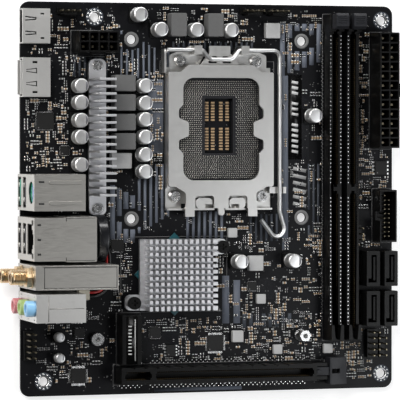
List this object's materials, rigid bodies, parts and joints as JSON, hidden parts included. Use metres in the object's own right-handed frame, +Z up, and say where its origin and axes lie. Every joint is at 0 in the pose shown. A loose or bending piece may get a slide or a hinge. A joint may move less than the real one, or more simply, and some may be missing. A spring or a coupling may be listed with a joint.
{
  "type": "motherboard",
  "caption": "Small square computer motherboard with a hinged processor socket, memory and expansion slots, rear socket stacks, finned coolers and captive battery.",
  "frame": {"origin": "axis of the rear standoff hole beside the expansion slot, on the board's underside", "axes": "+X from the rear sockets towards the front of the case, +Y from the expansion slot towards the processor, +Z up from the underside to the component side"},
  "size_m": [0.1806, 0.1701, 0.0376],
  "materials": {
    "solder_mask": "matt black board with printed stripes",
    "black_plastic": "moulded black plastic",
    "latch_plastic": "moulded dark grey plastic",
    "socket_plastic": "moulded black plastic",
    "gold_contact": "gold plated",
    "bare_steel": "nickel-plated pressed steel",
    "shell_steel": "tinned folded steel",
    "pale_steel": "tinned folded steel, paler",
    "wire_steel": "nickel-plated wire",
    "screw_steel": "plated",
    "tinned_pins": "tin plated",
    "insulator_film": "black film",
    "teal_plastic": "green plastic",
    "collar_plastic": "colour-coded plastic collars",
    "raw_aluminium": "bead-blasted extrusion",
    "can_aluminium": "bright can",
    "ferrite": "pressed ferrite, dark",
    "pale_ferrite": "pressed ferrite, grey",
    "chip_epoxy": "moulded epoxy",
    "chip_carrier": "blue-green carrier",
    "tan_ceramic": "multilayer ceramic",
    "battery_wrap": "black shrink wrap",
    "red_pvc": "red insulated lead",
    "black_pvc": "black insulated lead",
    "white_nylon": "natural nylon",
    "card_green": "green card"
  },
  "bodies": {
    "board_assembly": {"board": "solder_mask", "socket_body": "socket_plastic", "socket_contact_field": "gold_contact", "socket_capacitors": "tan_ceramic", "load_frame": "bare_steel", "frame_screws": "screw_steel", "back_plate": "bare_steel", "back_plate_insulator": "insulator_film", "back_plate_posts": "screw_steel", "memory_slot_a": "black_plastic", "memory_slot_b": "black_plastic", "slot_contacts": "gold_contact", "pcie_slot": "black_plastic", "atx_power_socket": "black_plastic", "cpu_power_socket": "black_plastic", "header_pins": "tinned_pins", "fan_sockets": "black_plastic", "pin_header_bases": "black_plastic", "front_usb_socket": "black_plastic", "sata_sockets": "black_plastic", "hdmi_cover": "pale_steel", "hdmi_insert": "black_plastic", "displayport_cover": "pale_steel", "displayport_insert": "black_plastic", "keyboard_stack_cover": "shell_steel", "keyboard_stack_insert": "teal_plastic", "keyboard_socket": "teal_plastic", "network_stack_cover": "shell_steel", "network_stack_insert": "black_plastic", "wireless_bracket": "shell_steel", "wireless_card": "card_green", "aerial_sockets": "gold_contact", "aerial_nuts": "gold_contact", "audio_cover": "pale_steel", "audio_core": "black_plastic", "audio_collars": "collar_plastic", "capacitor_cans": "can_aluminium", "capacitor_feet": "black_plastic", "dark_chokes": "ferrite", "light_chokes": "pale_ferrite", "chips": "chip_epoxy", "switching_transistors": "chip_epoxy", "finned_cooler": "raw_aluminium", "cooler_screws": "screw_steel", "chipset": "chip_carrier", "pin_field_cooler": "raw_aluminium", "push_pins": "black_plastic", "push_pin_springs": "wire_steel", "drive_socket": "black_plastic", "drive_posts": "gold_contact", "coin_battery": "battery_wrap", "battery_lead_red": "red_pvc", "battery_lead_black": "black_pvc", "battery_plug": "white_nylon"},
    "lever": {"load_lever": "wire_steel"},
    "plate": {"load_plate": "bare_steel"},
    "latch_a": {"memory_latch_a": "latch_plastic"},
    "latch_b": {"memory_latch_b": "latch_plastic"},
    "slot_latch": {"pcie_latch": "latch_plastic"}
  },
  "joints": [
    {"name": "load_lever_hinge", "type": "hinge", "parent": "board_assembly", "child": "lever", "pos_m": [0.07834, 0.14345, 0.007], "axis": [-1, 0, 0], "range_deg": [0, 135]},
    {"name": "load_plate_hinge", "type": "hinge", "parent": "board_assembly", "child": "plate", "pos_m": [0.07834, 0.07395, 0.0059], "axis": [1, 0, 0], "range_deg": [0, 100]},
    {"name": "memory_latch_a_hinge", "type": "hinge", "parent": "board_assembly", "child": "latch_a", "pos_m": [0.13064, 0.15675, 0.005], "axis": [-1, 0, 0], "range_deg": [0, 30]},
    {"name": "memory_latch_b_hinge", "type": "hinge", "parent": "board_assembly", "child": "latch_b", "pos_m": [0.13884, 0.15675, 0.005], "axis": [-1, 0, 0], "range_deg": [0, 30]},
    {"name": "pcie_latch_hinge", "type": "hinge", "parent": "board_assembly", "child": "slot_latch", "pos_m": [0.12424, 0.0022, 0.0042], "axis": [0, 1, 0], "range_deg": [0, 15]}
  ]
}
